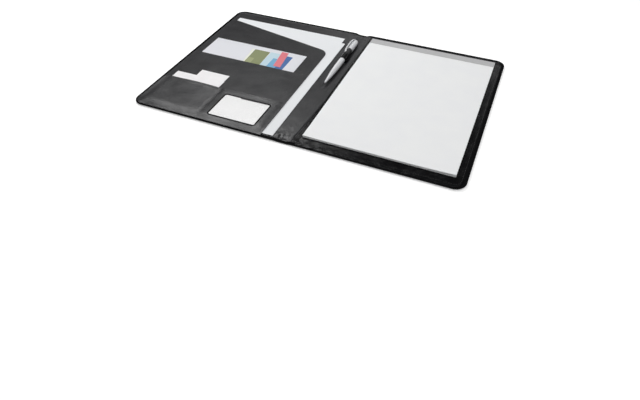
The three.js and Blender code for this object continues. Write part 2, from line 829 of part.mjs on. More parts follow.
const pad = new THREE.Group();
const padX = [padSpineEdge, padForeEdge];
const backing = box(padX, [padBottom, padTop], [backingLayer.bottom, backingLayer.top]);
const topSheet = box(padX, [padBottom, tapeEdge - leafGap], [topSheetLayer.bottom, topSheetLayer.top]);
place(pad, "pad_backing_board", backing, greyboard);
place(pad, "pad_sheets", padBlock(), paper);
place(pad, "pad_binding_tape", padTape(), tape);
place(pad, "pad_top_sheet", topSheet, paper);

const pen = new THREE.Group();
place(pen, "pen_barrel", penBarrel(), silver);
place(pen, "pen_sleeve", penSleeve(), blackRubber);
place(pen, "pen_cap", penCap(), silver);
place(pen, "pen_clip", penClip(), silver);
place(pen, "pen_refill", penRefill(), brass);

const contents = new THREE.Group();
const rearDocument = [rearDocumentInset, paperWidth, documentBottom, paperHeight];
const frontDocument = [frontDocumentInset, frontDocumentWidth, documentBottom, frontDocumentHeight];
const leafletBottom = leafletOpening + leafletReveal - leafletHeight;
const leaflet = [leafletInset, leafletWidth, leafletBottom, leafletHeight];
const landscapeBottom = cardOpening + landscapeCardReveal - landscapeCardHeight;
const landscape = [cardsInset + landscapeCardGap, landscapeCardWidth, landscapeBottom, landscapeCardHeight];
const portraitBottom = cardOpening + portraitCardReveal - portraitCardHeight;
const portrait = [cardsInset + portraitCardGap, portraitCardWidth, portraitBottom, portraitCardHeight];
place(contents, "rear_document", leftSheet(...rearDocument, rearDocumentLayer), paper);
place(contents, "front_document", leftSheet(...frontDocument, frontDocumentLayer), paper);
place(contents, "leaflet", leftSheet(...leaflet, leafletLayer), paper);
place(contents, "landscape_card", leftSheet(...landscape, landscapeCardLayer), paper);
place(contents, "portrait_card", leftSheet(...portrait, portraitCardLayer), paper);
place(contents, "id_card", idCard(), plasticCard);

folio.add(backCover, spine, frontCover, pad, pen, contents);

export default folio;
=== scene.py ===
# Looks of a document folio that lies open: leatherette covers, charcoal pockets, papers, a writing pad and a pen.
# Lengths are millimetres in the frame's axes, and become metres where a mesh is made.
import json
from functools import partial
from math import acos, cos, pi, radians, sin, tan

import bmesh
import bpy
import numpy as np
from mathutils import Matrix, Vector


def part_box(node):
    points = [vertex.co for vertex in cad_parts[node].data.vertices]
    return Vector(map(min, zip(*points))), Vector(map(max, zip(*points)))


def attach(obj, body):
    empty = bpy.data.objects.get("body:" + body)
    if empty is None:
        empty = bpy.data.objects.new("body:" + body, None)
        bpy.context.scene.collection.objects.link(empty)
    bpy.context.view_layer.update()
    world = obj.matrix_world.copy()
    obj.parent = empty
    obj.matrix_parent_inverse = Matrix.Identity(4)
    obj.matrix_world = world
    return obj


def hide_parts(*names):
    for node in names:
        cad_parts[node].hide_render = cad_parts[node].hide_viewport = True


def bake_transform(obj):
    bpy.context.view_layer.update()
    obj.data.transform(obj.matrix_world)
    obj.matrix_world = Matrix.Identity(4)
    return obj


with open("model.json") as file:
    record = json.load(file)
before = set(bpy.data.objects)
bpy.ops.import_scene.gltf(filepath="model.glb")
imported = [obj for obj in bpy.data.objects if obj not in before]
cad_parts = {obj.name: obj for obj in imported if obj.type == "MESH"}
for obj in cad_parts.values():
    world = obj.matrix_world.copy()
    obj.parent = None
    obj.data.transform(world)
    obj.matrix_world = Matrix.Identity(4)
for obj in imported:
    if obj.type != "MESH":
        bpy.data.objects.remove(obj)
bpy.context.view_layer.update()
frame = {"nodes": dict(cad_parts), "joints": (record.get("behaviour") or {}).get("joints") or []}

MM = 0.001


def node_box(name):
    low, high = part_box(name)
    return np.array(low) / MM, np.array(high) / MM


# Main places, read from the frame
FORE_EDGE, TOP_EDGE = node_box("back_outer_skin")[1][:2]
COVER_TOP, SPINE_TOP = node_box("back_lining")[1][2], node_box("spine_lining")[1][2]
FOLD = 1000 * next(j for j in frame["joints"] if j["name"] == "spine_fold")["pos_m"][0]
BOARD_START, BOARD_TOP = node_box("back_board")[0][0], node_box("back_board")[1][2]
SEAM = -(node_box("front_main_skin")[0][0] + node_box("front_edge_skin")[1][0]) / 2
PAD_LOW, PAD_HIGH = node_box("pad_sheets")
PAD_POCKET_LOW, PAD_POCKET_HIGH = node_box("pad_pocket")
CAP_LOW, CAP_HIGH = node_box("pen_cap")
PEN_X, _, PEN_Z = (CAP_LOW + CAP_HIGH) / 2
CAP_RADIUS = (CAP_HIGH[0] - CAP_LOW[0]) / 2
PEN_POINT = node_box("pen_barrel")[0][1]
LOOP_LOW, LOOP_HIGH = node_box("pen_loop")
LOOP_MIDDLE, LOOP_HALF = (LOOP_LOW[1] + LOOP_HIGH[1]) / 2, (LOOP_HIGH[1] - LOOP_LOW[1]) / 2
FORE_CORNER = 16
STITCH_PITCH, STITCH_GAP = 3.2, 0.6
STITCH_INSET = 5  # outer stitch row, from the edge
LINING_STITCH_INSET = 7
HEM_STITCH = 2.6  # stitch row of a turned hem, from the free edge or the seam
ROW_START = 0.8  # rows round an edge begin this far from the spine's middle
LINING_INSET = 4.8  # the skin's turned edge shows outside the lining
PANEL_INSET = 5.2  # pocket panels are sewn in with the lining
PANEL_LOW_INSET = 1.5  # and reach further out at the bottom edge
SKIN, SHEET, PANEL_SHEET = 0.7, 0.45, 0.3  # thickness of the outer skin, of a lining and of a pocket panel
PANEL_LAYER = 0.5  # each panel lies at least this much above what is under it


# ---- shapes
def smooth(t):
    """A step from 0 to 1 with soft ends"""
    t = np.clip(t, 0, 1)
    return t * t * (3 - 2 * t)


def bump(distance, width):
    """A bell shape, 1 in its middle"""
    return np.exp(-((distance / width) ** 2))


def soft_noise(x, y, cell, seed):
    """Smooth random heights from -1 to 1, with rises about one cell wide."""
    lattice = np.random.default_rng(seed).uniform(-1, 1, (64, 64))
    u, v = np.asarray(x) / cell, np.asarray(y) / cell
    i, j = np.floor(u).astype(int), np.floor(v).astype(int)
    a, b = smooth(u - i), smooth(v - j)

    def pick(di, dj):
        return lattice[(i + di) % 64, (j + dj) % 64]

    return (pick(0, 0) * (1 - a) + pick(1, 0) * a) * (1 - b) + (pick(0, 1) * (1 - a) + pick(1, 1) * a) * b


def places(*stops):
    """Places along a line from (place, step) pairs: each stretch up to the next place has about that step."""
    found = []
    for (start, step), (end, _) in zip(stops, stops[1:]):
        count = max(1, round(abs(end - start) / step))
        found.extend(np.linspace(start, end, count, endpoint=False))
    return np.array([*found, stops[-1][0]])


def unit(vectors):
    return vectors / np.linalg.norm(vectors, axis=-1, keepdims=True)


def lengths(line):
    """Length of a line up to each of its points"""
    return np.concatenate([[0], np.cumsum(np.linalg.norm(np.diff(line, axis=0), axis=1))])


def on_line(line, at):
    """Places on a line at lengths from its start"""
    return np.stack([np.interp(at, lengths(line), column) for column in np.transpose(line)], axis=-1)


def normals(line):
    """Directions square to a flat line, to the left of its run"""
    slope = unit(np.gradient(line, axis=0))
    return np.stack([-slope[:, 1], slope[:, 0]], axis=1)


def grid_faces(columns, rows):
    i, j = np.meshgrid(np.arange(columns - 1), np.arange(rows - 1), indexing="ij")
    a = (i * rows + j).ravel()
    return np.stack([a, a + rows, a + rows + 1, a + 1], axis=1)


def tube_faces(rings, sides, first=0):
    """Faces along a row of closed rings of points, then its two ends"""
    last = first + (rings - 1) * sides
    faces = []
    for low in range(first, last, sides):
        for k in range(sides):
            a, b = low + k, low + (k + 1) % sides
            faces.append([a, b, b + sides, a + sides])
    return [*faces, list(range(first, first + sides)), list(range(last, last + sides))]


def new_object(name, data):
    made = bpy.data.objects.new(name, data)
    bpy.context.scene.collection.objects.link(made)
    return made


def piece(name, points, faces, finish, slot, body=None, replaces=(), sharp=38):
    """Makes a mesh from points in millimetres. Its points also keep their places at rest, for the patterns."""
    mesh = bpy.data.meshes.new(name)
    mesh.from_pydata((np.asarray(points) * MM).tolist(), [], [list(map(int, f)) for f in faces])
    shape = bmesh.new()
    shape.from_mesh(mesh)
    bmesh.ops.delete(shape, geom=[v for v in shape.verts if not v.link_faces], context="VERTS")
    bmesh.ops.recalc_face_normals(shape, faces=shape.faces)
    shape.to_mesh(mesh)
    shape.free()
    place = np.zeros(len(mesh.vertices) * 3, np.float32)
    mesh.vertices.foreach_get("co", place)
    mesh.attributes.new("rest", "FLOAT_VECTOR", "POINT").data.foreach_set("vector", place / MM)
    mesh.shade_smooth()
    mesh.set_sharp_from_angle(angle=radians(sharp))
    mesh.materials.append(finish)
    made = new_object(name, mesh)
    if body:
        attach(made, body)
    if replaces:
        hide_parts(*replaces)
    return made


def thick(upper, lower, faces):
    """A closed shape from the two sides of a sheet, which share their faces; free edges are walled."""
    faces = np.asarray(faces)
    count = len(upper)
    starts, ends = faces.ravel(), np.roll(faces, -1, axis=1).ravel()
    free = ~np.isin(starts * count + ends, ends * count + starts)
    a, b = starts[free], ends[free]
    walls = np.stack([b, a, a + count, b + count], axis=1)
    return np.vstack([upper, lower]), np.vstack([faces, faces[:, ::-1] + count, walls])


def layer(flat, top, bottom, faces):
    """A closed sheet between two heights over the same places"""
    return thick(np.column_stack([flat, top]), np.column_stack([flat, bottom]), faces)


def half_sheet(side, across, along, corner, rings):
    """One half of the open folio: a grid with two round corners at its fore-edge, and rings round its free sides.
    Returns (the grid, its edge, the rings' outward directions) and the faces. Side is 1 right and -1 left."""
    x, y = np.meshgrid(across, along, indexing="ij")
    inner = np.array([across[-1] - corner, along[-1] - corner])
    for sign in (1, -1):
        a, b = (x - inner[0]) / corner, (sign * y - inner[1]) / corner
        round_off = (a > 0) & (b > 0)
        new_a = np.where(round_off, a * np.sqrt(np.clip(1 - b * b / 2, 0, 1)), a)
        new_b = np.where(round_off, b * np.sqrt(np.clip(1 - a * a / 2, 0, 1)), b)
        x, y = inner[0] + new_a * corner, sign * (inner[1] + new_b * corner)
    index = np.arange(x.size).reshape(x.shape)
    loop = np.concatenate([index[:, 0], index[-1, 1:], index[-2::-1, -1]])
    flat = np.stack([x.ravel(), y.ravel()], axis=1)
    edge = flat[loop]
    outward = unit(edge - np.clip(edge, -inner, inner))
    loops = np.vstack([loop, x.size + np.arange(rings * len(loop)).reshape(rings, -1)])
    near, far = loops[:-1], loops[1:]
    ring_faces = np.stack([near[:, :-1], far[:, :-1], far[:, 1:], near[:, 1:]], axis=-1).reshape(-1, 4)
    return [part * [side, 1] for part in (flat, edge, outward)], np.vstack([grid_faces(*x.shape), ring_faces])


def drawn_in(y, x):
    """The spine's top end is drawn in a little between the covers"""
    return y - 2.2 * smooth((y - TOP_EDGE + 30) / 30) * bump(x - 3, 8)


def ringed(sheet, start, profile, grid_height, ring_height):
    """Points of a half sheet: its grid at a height, and rings at (inset, height) from the outer edge."""
    flat, edge, outward = sheet
    points = [np.column_stack([flat, grid_height(flat)])]
    for inset, height in profile:
        place = edge + outward * (start - inset)
        points.append(np.column_stack([place, ring_height(place, height)]))
    points = np.vstack(points)
    points[:, 1] = drawn_in(points[:, 1], points[:, 0])
    return points


def side_curve(shares, start, end):
    """Places at shares of a side, which runs from corner to corner. Each end is a pair: its corner (x, y, radius),
    and the corner next to that on the far side."""
    def arc(corner, towards, other):
        p, radius = np.array(corner[:2], float), corner[2]
        if radius == 0:
            return [p]
        to, back = unit(np.array(towards[:2]) - p), unit(np.array(other[:2]) - p)
        middle = unit(to + back)
        half = acos(np.clip(to @ back, -1, 1)) / 2
        centre = p + middle * radius / sin(half)
        first, last = -middle * radius, p + to * radius / tan(half) - centre
        turn = acos(np.clip(first @ last / radius**2, -1, 1))
        return [
            centre + (first * sin((1 - s) * turn) + last * sin(s * turn)) / sin(turn)
            for s in np.linspace(0, 1, 9)
        ]

    line = np.array([*arc(start[0], end[0], start[1]), *arc(end[0], start[0], end[1])[::-1]])
    return on_line(line, shares * lengths(line)[-1])


def side_curves(corners, across, along):
    """The four sides of a patch: bottom, top, spine side and fore side"""
    a, b, c, d = corners
    bottom, top = side_curve(across, (a, d), (b, c)), side_curve(across, (d, a), (c, b))
    return bottom, top, side_curve(along, (a, b), (d, c)), side_curve(along, (b, a), (c, d))


def patch(corners, across, along):
    """A grid inside four corners (x, y, radius), given from the low spine side round; shares run from 0 to 1."""
    bottom, top, left, right = side_curves(corners, across, along)
    u, v = across[:, None, None], along[None, :, None]
    blend = (1 - v) * bottom[:, None] + v * top[:, None] + (1 - u) * left[None] + u * right[None]
    corner_part = (1 - u) * (1 - v) * bottom[0] + u * (1 - v) * bottom[-1] + (1 - u) * v * top[0] + u * v * top[-1]
    return (blend - corner_part).reshape(-1, 2), grid_faces(len(across), len(along))


def rectangle(low, high, radius=0):
    """Corners for a patch; the radius is that of the low corner on the fore side"""
    return [(low[0], low[1], 0), (high[0], low[1], radius), (high[0], high[1], 0), (low[0], high[1], 0)]


def edge_shares(length):
    """Shares of a side, with fine steps near both ends"""
    return places((0, 0.7), (5, 3), (length - 5, 0.7), (length, 1)) / length


def stitch_row(line, up, thickness=0.55, sink=0.12):
    """Stitches along a line of points, lying above it where up is 1 and under it where up is -1. Each is a tube,
    thin at its ends."""
    total = lengths(line)[-1]
    count = max(1, int(total / STITCH_PITCH))
    half = (total / count - STITCH_GAP) / 2
    shares, swell = np.array([-1, -0.72, 0, 0.72, 1]), np.array([0.25, 0.8, 1, 0.8, 0.25])
    middles = (np.arange(count) + 0.5) * total / count
    threads = on_line(line, middles[:, None] + half * shares)
    up = np.array([0, 0, up])
    sideways = np.cross(up, unit(threads[:, -1] - threads[:, 0]))
    angles = np.arange(6)[:, None] * 2 * pi / 6
    size = thickness / 2 * swell[:, None, None]
    offsets = sideways[:, None, None] * np.cos(angles) + up * np.sin(angles)
    points = threads[:, :, None] + up * (size - sink) + offsets * size
    faces = [face for k in range(count) for face in tube_faces(len(shares), 6, k * len(shares) * 6)]
    return points.reshape(-1, 3), faces


def joined(parts):
    """Several (points, faces) as one"""
    points, faces = np.zeros((0, 3)), []
    for more, more_faces in parts:
        faces += [[v + len(points) for v in face] for face in more_faces]
        points = np.vstack([points, more])
    return points, faces


def edge_path(side, inset):
    """Places round one half at an inset from its edge: bottom, fore-edge and top"""
    radius = FORE_CORNER - inset
    fore, top = FORE_EDGE - inset, TOP_EDGE - inset
    turn = np.linspace(0, pi / 2, 12)
    low = np.stack([fore - radius + radius * np.sin(turn), -top + radius - radius * np.cos(turn)], axis=1)
    path = np.vstack([[[ROW_START, -top]], low, low[::-1] * [1, -1], [[ROW_START, top]]])
    total = lengths(path)[-1]
    x, y = on_line(path, np.linspace(0, total, int(total / 1.5))).T
    return np.stack([side * x, drawn_in(y, side * x)], axis=1)


def turned(profile):
    """A turned piece of the pen from (radius, y) pairs, closed at both ends"""
    segments = 56
    angles = np.arange(segments) * 2 * pi / segments
    points = [[PEN_X + r * cos(t), y, PEN_Z + r * sin(t)] for r, y in profile for t in angles]
    return np.array(points), tube_faces(len(profile), segments)


# ---- finishes
def linear(hex_colour):
    values = [int(hex_colour[i : i + 2], 16) / 255 for i in (1, 3, 5)]
    return (*[v / 12.92 if v <= 0.04045 else ((v + 0.055) / 1.055) ** 2.4 for v in values], 1)


def join(node, links):
    """Sets a node's inputs, each to a value, to an output, or to a node's first output that is in use"""
    for key, value in links.items():
        if isinstance(value, bpy.types.Node):
            value = next(output for output in value.outputs if output.enabled)
        if isinstance(value, bpy.types.NodeSocket):
            node.id_data.links.new(value, node.inputs[key])
        else:
            node.inputs[key].default_value = value


def add_node(tree, kind, links=None, **settings):
    """Adds a node with its settings and links"""
    made = tree.nodes.new("ShaderNode" + kind)
    for key, value in settings.items():
        setattr(made, key, value)
    join(made, links or {})
    return made


def new_finish(name, frame_node=False):
    """An empty material: what adds its nodes, its shader, and the place at rest in millimetres for its pattern"""
    made = bpy.data.materials.new(name)
    made.use_nodes = True
    made.node_tree.nodes.clear()
    add = partial(add_node, made.node_tree)
    shader = add("BsdfPrincipled")
    add("OutputMaterial", {"Surface": shader})
    if frame_node:
        place = add("VectorMath", {0: add("TexCoord").outputs["Object"], "Scale": 1 / MM}, operation="SCALE")
    else:
        place = add("Attribute", attribute_name="rest").outputs["Vector"]
    return made, add, shader, place


def leatherette(name, colour, worn, roughness, crease_depth, grain_depth, crease_width, ior, sag=0):
    """A polymer skin on cloth, pressed with fine creases that meet in small cells; sag swells it broadly, in mm"""
    made, add, shader, place = new_finish(name)
    drift = add("TexNoise", {"Vector": place, "Scale": 0.09, "Detail": 3.0})
    shift = add("VectorMath", {0: drift.outputs["Color"], "Scale": 9.0}, operation="SCALE")
    bent = add("VectorMath", {0: place, 1: shift}, operation="ADD")
    cells = add("TexVoronoi", {"Vector": bent, "Scale": 1 / crease_width}, feature="DISTANCE_TO_EDGE")
    crease = add("MapRange", {"Value": cells, "From Max": 0.14}, interpolation_type="SMOOTHSTEP")
    long_folds = add("TexNoise", {"Vector": bent, "Scale": 0.055, "Detail": 5.0, "Roughness": 0.62})
    patchy = add("MapRange", {"Value": long_folds, "From Min": 0.42, "From Max": 0.66, "To Min": 0.1})
    creased = add("Math", {0: crease, 1: patchy}, operation="MULTIPLY")
    grain = add("TexNoise", {"Vector": place, "Scale": 1.4, "Detail": 2.0})
    swells = add("TexNoise", {"Vector": place, "Scale": 0.032, "Detail": 1.0})
    relief = add("Bump", {"Height": swells, "Distance": sag * MM})
    for height, strength, depth in ((creased, crease_depth, 0.5), (grain, grain_depth, 0.2)):
        relief = add("Bump", {"Height": height, "Strength": strength, "Distance": depth * MM, "Normal": relief})
    shade = add("Mix", {"Factor": long_folds, "A": linear(colour), "B": linear(worn)}, data_type="RGBA")
    gloss = add(
        "MapRange",
        {"Value": long_folds, "From Min": 0.3, "From Max": 0.7,
         "To Min": roughness - 0.05, "To Max": roughness + 0.07},
    )
    join(shader, {"Base Color": shade, "Roughness": gloss, "Normal": relief, "IOR": ior})
    return made


def plain_finish(name, colour, other, roughness, cell, depth=0.15, metallic=0.0, ior=1.5, frame_node=False,
                 stretch=(1, 1, 1)):
    """A finish with one mottle: two close shades and a fine relief, both a cell wide in millimetres"""
    made, add, shader, place = new_finish(name, frame_node)
    scaled = add("VectorMath", {0: place, 1: stretch}, operation="MULTIPLY")
    mottle = add("TexNoise", {"Vector": scaled, "Scale": 1 / cell, "Detail": 3.0})
    share = add("MapRange", {"Value": mottle, "From Min": 0.35, "From Max": 0.65})
    shade = add("Mix", {"Factor": share, "A": linear(colour), "B": linear(other)}, data_type="RGBA")
    relief = add("Bump", {"Height": mottle, "Strength": depth, "Distance": 0.1 * MM})
    join(shader, {"Base Color": shade, "Normal": relief, "Roughness": roughness, "Metallic": metallic, "IOR": ior})
    return made


def between(add, value, low, high):
    """1 where a value lies between two limits, and 0 elsewhere"""
    above = add("Math", {0: value, 1: low}, operation="GREATER_THAN")
    below = add("Math", {0: value, 1: high}, operation="LESS_THAN")
    return add("Math", {0: above, 1: below}, operation="MULTIPLY")


def printed(name, paper, roughness, blocks):
    """Paper with plain printed blocks, each (x low, x high, y low, y high, colour, lean); lean is x per y"""
    made, add, shader, place = new_finish(name)
    x, y, _ = add("SeparateXYZ", {0: place}).outputs
    shade = linear(paper)
    for x_low, x_high, y_low, y_high, colour, lean in blocks:
        upright = add("Math", {0: y, 1: -lean, 2: x}, operation="MULTIPLY_ADD")
        across, along = between(add, upright, x_low, x_high), between(add, y, y_low, y_high)
        inside = add("Math", {0: across, 1: along}, operation="MULTIPLY")
        shade = add("Mix", {"Factor": inside, "A": shade, "B": linear(colour)}, data_type="RGBA")
    fibre = add("TexNoise", {"Vector": place, "Scale": 0.8, "Detail": 2.0})
    relief = add("Bump", {"Height": fibre, "Strength": 0.1, "Distance": 0.1 * MM})
    join(shader, {"Base Color": shade, "Normal": relief, "Roughness": roughness})
    return made


# Outer skin: polyurethane leatherette, pressed with a creased grain and polished: deep black with broken gloss
outer_leather = leatherette("polished_leatherette", "#0b0b0d", "#131315", 0.3, 0.5, 0.25, 7, 1.35)
# The panel under the pad is the same sheet with less polish, so its grain shows only at a glance
pad_side_leather = leatherette("dull_leatherette", "#08080a", "#0f0f10", 0.22, 0.4, 0.4, 5, 1.22)
# Lining: calendered vinyl, satin charcoal, slack in broad swells; its grain is too fine to see, so drawn coarser
lining_vinyl = leatherette("calendered_vinyl", "#222224", "#262628", 0.33, 0.08, 0.22, 12, 1.37, 0.8)
# Thread: spun polyester, a dull black a shade above the skin's
thread = plain_finish("polyester_thread", "#1b1b1d", "#2a2a2c", 0.6, 0.5, 0.5)
# Edge paint: brushed on in matt coats, so a turned edge is a dark line with no highlight; on the card window's
# binding its black is also painted shade, standing in for the shadow along the window's edge
edge_paint_and_painted_shade = plain_finish("edge_binding_and_painted_shade", "#0c0c0d", "#131314", 0.9, 1.2, 0.2, ior=1.1)
# Writing paper: uncoated, matt, slightly cool white, with a faint cloudy mottle
pad_paper = plain_finish("uncoated_paper", "#eff0f1", "#f1f2f2", 0.85, 30, 0.03)
# Office paper: machine finished, matt and a shade greyer
office_paper = printed("office_paper", "#e8eaec", 0.8, [])
# Card: pressed smooth, a warm white with a slight sheen
plain_card = plain_finish("smooth_card", "#efedee", "#f2f0f1", 0.6, 12, 0.05)
# Plastic card: laminated PVC with a satin face, the brightest white
card_plastic = plain_finish("satin_pvc_card", "#f3f3f3", "#f5f5f5", 0.35, 20, 0.02, frame_node=True)
# Binding tape: creped paper, pale grey with fine ribs across the pad
binding_tape = plain_finish(
    "crepe_tape", "#b4b4b5", "#bcbcbd", 0.7, 0.9, 0.6, stretch=(0.35, 1, 1), frame_node=True
)
# Greyboard: pressed from waste paper, dull brown-grey with flecks
greyboard = plain_finish("greyboard", "#8d8679", "#7d766a", 0.9, 1.5, 0.4, frame_node=True)
# Foam: slit from a polyurethane block, a dull cream with open cells
foam = plain_finish("polyurethane_foam", "#d9d4c4", "#cbc5b3", 0.95, 0.8, 0.6, frame_node=True)
# Refill: drawn brass tube, yellow with a soft gloss
brass = plain_finish("drawn_brass", "#b8964a", "#a88740", 0.3, 3, 0.05, metallic=1.0, frame_node=True)
# Pen: metal with a pearl chrome coat, a pale satin with fine streaks along the pen
satin_metal = plain_finish("pearl_chromed_metal", "#e8e9eb", "#dcdddf", 0.45, 2, 0.03, 0.2, stretch=(1, 0.1, 1))
# Grip: moulded rubber with a soft-touch face, near black with no sharp gloss
soft_rubber = plain_finish("soft_touch_rubber", "#121213", "#17171a", 0.5, 0.6, 0.3)

# Leaflet: coated paper, offset printed with plain colour blocks, pale and satin
leaflet_paper = printed("coated_paper", "#dddee3", 0.5, [
    (-151, -148, -60, 41, "#e8e9d8", -0.08), (-148, -120, -60, 41, "#7f8659", -0.04),
    (-120, -96, -60, 42, "#bcd4df", 0), (-108, -88, -60, 26, "#6aa6cb", 0), (-93, -79, -60, 40, "#2f62a0", 0),
    (-97.5, -85, 4, 50, "#dc727c", -0.12), (-147, -137, -60, 14, "#979c6f", -0.04),
])


def clear_film_finish():
    """Clear vinyl film, rolled smooth: it shows as a gloss over the card, with a slow ripple"""
    made, add, shader, place = new_finish("clear_vinyl_film", True)
    ripple = add("TexNoise", {"Vector": place, "Scale": 0.06, "Detail": 1.0})
    relief = add("Bump", {"Height": ripple, "Strength": 0.2, "Distance": 1 * MM})
    join(shader, {"Base Color": linear("#ffffff"), "Normal": relief, "Roughness": 0.08, "Alpha": 0.12})
    return made


clear_film = clear_film_finish()
for name, finish in {
    "back_foam": foam, "front_foam": foam, "back_board": greyboard, "front_board": greyboard,
    "spine_stiffener": greyboard, "pad_backing_board": greyboard, "pen_refill": brass, "id_card": card_plastic,
    "pad_binding_tape": binding_tape, "window_film": clear_film,
}.items():
    mesh = frame["nodes"][name].data
    mesh.materials.clear()
    mesh.materials.append(finish)

# ---- camera, light and floor
CAMERA_LENS = 28.42  # on a sensor 36 mm wide
CAMERA_AZIMUTH, CAMERA_ELEVATION = radians(22.9), radians(45)
CAMERA_DISTANCE = 610
CAMERA_TARGET = Vector((90.38, -245.65, 0))


def aimed(name, data, place, direction):
    """Puts a camera or a lamp in its place"""
    made = new_object(name, data)
    made.location = place
    made.rotation_mode = "QUATERNION"
    made.rotation_quaternion = direction.to_track_quat("-Z", "Y")
    return made


def camera_at_photo():
    data = bpy.data.cameras.new("camera")
    data.lens, data.sensor_width = CAMERA_LENS, 36
    data.clip_start, data.clip_end = 0.01, 50
    level = cos(CAMERA_ELEVATION)
    back = Vector((sin(CAMERA_AZIMUTH) * level, -cos(CAMERA_AZIMUTH) * level, sin(CAMERA_ELEVATION)))
    bpy.context.scene.camera = aimed("camera", data, (CAMERA_TARGET + back * CAMERA_DISTANCE) * MM, -back)


def softbox(name, place, size, power):
    """A lamp with a diffuser, aimed at the middle of the folio"""
    data = bpy.data.lights.new(name, "AREA")
    data.shape, data.energy = "RECTANGLE", power
    data.size, data.size_y = size
    aimed(name, data, place, -Vector(place))


def studio():
    """Soft lamps, a room with white walls and a dim ceiling, and a pale floor"""
    softbox("overhead", (0.3, -0.5, 1.9), (1.6, 1.6), 23.4)
    softbox("back_left", (-0.79, 0.6, 1.17), (0.92, 0.4), 10.8)
    softbox("back_middle", (-0.2, 1.95, 0.94), (1.2, 0.32), 2.4)
    world = bpy.data.worlds.new("room")
    bpy.context.scene.world = world
    world.use_nodes = True
    world.node_tree.nodes.clear()
    add = partial(add_node, world.node_tree)
    height = add("SeparateXYZ", {0: add("TexCoord").outputs["Generated"]}).outputs[2]
    wall = add(
        "MapRange", {"Value": height, "From Max": 0.32, "To Min": 0.8, "To Max": 0.1},
        interpolation_type="SMOOTHSTEP",
    )
    room = add("Background", {"Color": (1, 1, 1, 1), "Strength": wall})
    add("OutputWorld", {"Surface": room})

    finish = bpy.data.materials.new("floor")
    finish.use_nodes = True
    add = partial(add_node, finish.node_tree)
    rays = add("LightPath").outputs
    seen = add("Math", {0: rays["Is Camera Ray"], 1: rays["Is Glossy Ray"]}, operation="MAXIMUM")
    seen = add("Math", {0: seen, 1: rays["Is Transmission Ray"]}, operation="MAXIMUM")
    lift = add("Math", {0: seen, 1: 0.32}, operation="MULTIPLY")
    join(finish.node_tree.nodes["Principled BSDF"], {
        "Base Color": linear("#f4f4f4"), "Roughness": 0.9, "Specular IOR Level": 0.1,
        "Emission Color": (1, 1, 1, 1), "Emission Strength": lift,
    })
    mesh = bpy.data.meshes.new("floor")
    mesh.from_pydata([(x, y, 0) for x, y in ((-6, -6), (6, -6), (6, 6), (-6, 6))], [], [(0, 1, 2, 3)])
    mesh.materials.append(finish)
    floor = new_object("floor", mesh)
    floor.location.z = -0.4 * MM
    bpy.context.scene.view_settings.view_transform = "Standard"


# ---- outer skins
def cover_share(x):
    """Height of the wrapped edge as a share of a cover's, lower over the spine"""
    low = (SPINE_TOP + 0.1) / (COVER_TOP + 0.1)
    return low + (1 - low) * smooth((np.abs(x) - FOLD + 1) / 5)


SKIN_OUTSIDE = [
    (8, 0), (7, 0.01), (6.2, 0.03), (5.7, 0.12), (5.35, 0.25), (5, 0.32), (4.65, 0.25), (4.3, 0.12), (3.9, 0.06),
    (3.2, 0.08), (2.4, 0.2), (1.5, 0.52), (0.75, 0.95), (0.25, 1.45), (0, 2), (0.04, 2.7), (0.22, 3.1),
    (0.6, 3.25), (1.3, 3.29), (3.4, 3.29), (4.8, 3.1),
]
SKIN_INSIDE = [
    (8, 0.7), (7, 0.7), (6.2, 0.7), (5.7, 0.72), (5.35, 0.75), (5, 0.78), (4.65, 0.8), (4.3, 0.8), (3.9, 0.8),
    (3.4, 0.82), (2.9, 0.92), (2.3, 1.15), (1.6, 1.4), (1.05, 1.75), (0.75, 2), (0.72, 2.15), (0.75, 2.3),
    (0.95, 2.45), (1.3, 2.6), (2, 2.75), (4.8, 2.75),
]
GRID_INSET = 9


def outer_skin(side):
    """Outside and inside of one half's skin. The left one has the seam of its two panels pressed in beside it."""
    seam_stops = [(SEAM - 5, 0.5), (SEAM + 2, 2.7)] if side < 0 else []
    fore, high = FORE_EDGE - GRID_INSET, TOP_EDGE - GRID_INSET
    across = places((0, 0.8), (FOLD + 6, 2.7), *seam_stops, (fore, 1))
    along = places((-high, 2.7), (high, 1))
    sheet, faces = half_sheet(side, across, along, FORE_CORNER - GRID_INSET, len(SKIN_OUTSIDE))

    def groove(x):
        beyond = np.abs(x) - SEAM
        return (0.55 * bump(beyond, 0.8) + 0.25 * bump(beyond + HEM_STITCH, 0.6)) * (side < 0)

    def outside(place):
        x, y = place.T
        free = smooth((high - np.abs(y)) / 12) * smooth((fore - np.abs(x)) / 12)
        return 0.1 * (soft_noise(x, y, 17, 3) + 1) * free * smooth((np.abs(x) - FOLD) / 8) + groove(x)

    def rim(place, height):
        return height * cover_share(place[:, 0]) + groove(place[:, 0]) * smooth(1 - height / 0.6)

    def inside(place, height=SKIN):
        return SKIN + (height - SKIN) * cover_share(place[:, 0])

    upper = ringed(sheet, GRID_INSET, SKIN_OUTSIDE, outside, rim)
    return upper, ringed(sheet, GRID_INSET, SKIN_INSIDE, inside, inside), faces


def hinge_sheet(made, side):
    """Bakes a piece's place into its mesh, the same for either half"""
    if side > 0:
        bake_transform(made)
    else:
        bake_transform(made)
    return made


def paint_rim(skin):
    """The turned edge inside the rim has a dull coat of edge paint"""
    skin.data.materials.append(edge_paint_and_painted_shade)
    for face in skin.data.polygons:
        x, _, height = np.array(face.center) / MM
        face.material_index = int(height > 2.3 * cover_share(x))


def outer_stitches(name, side):
    path = edge_path(side, STITCH_INSET)
    row = np.column_stack([path, 0.32 * cover_share(path[:, 0])])
    hinge_sheet(piece(name, *stitch_row(row, -1), thread, "leatherette"), side)


